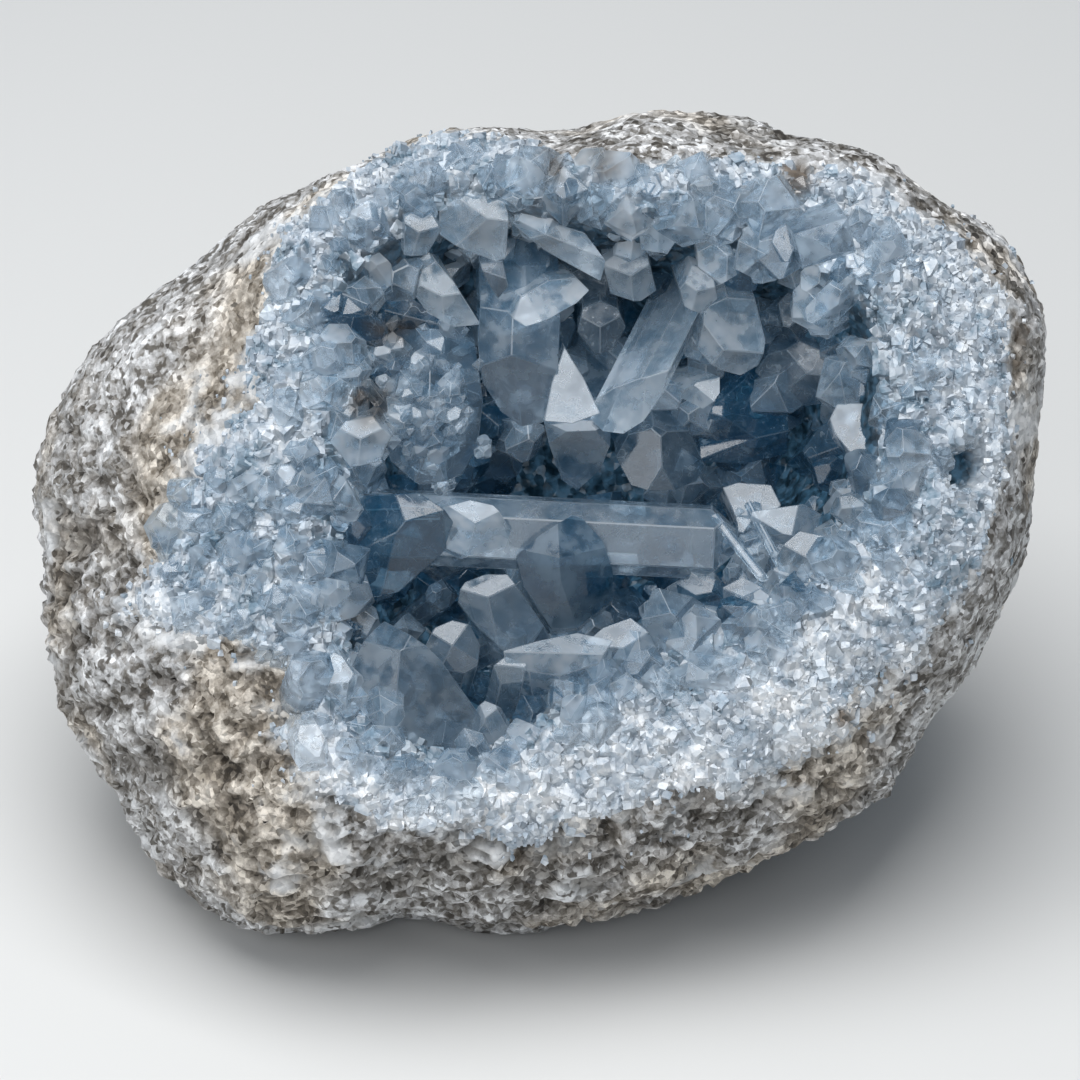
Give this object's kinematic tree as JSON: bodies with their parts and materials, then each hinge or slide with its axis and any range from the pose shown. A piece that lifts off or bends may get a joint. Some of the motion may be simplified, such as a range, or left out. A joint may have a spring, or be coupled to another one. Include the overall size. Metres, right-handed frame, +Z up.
{
  "type": "mineral geode",
  "caption": "Egg-shaped limestone nodule broken open on one side, with a leaning hollow and broad rim crusted with blocky, clear to milky pale blue celestite crystals.",
  "frame": {"origin": "middle of the object's box, on the plane of the flat spot that it rests on", "axes": "+Z up; -Y the side that the hollow opens towards, looking 35 degrees up; +X to the right as seen looking into the hollow, along the longest side"},
  "size_m": [0.2098, 0.1476, 0.1612],
  "materials": {
    "limestone": "rough broken limestone, grey with pale and brown specks",
    "celestite": "clear to milky pale blue crystal with glossy faces"
  },
  "bodies": {
    "root": {"limestone_shell": "limestone", "crystal_crust": "celestite"}
  },
  "joints": []
}
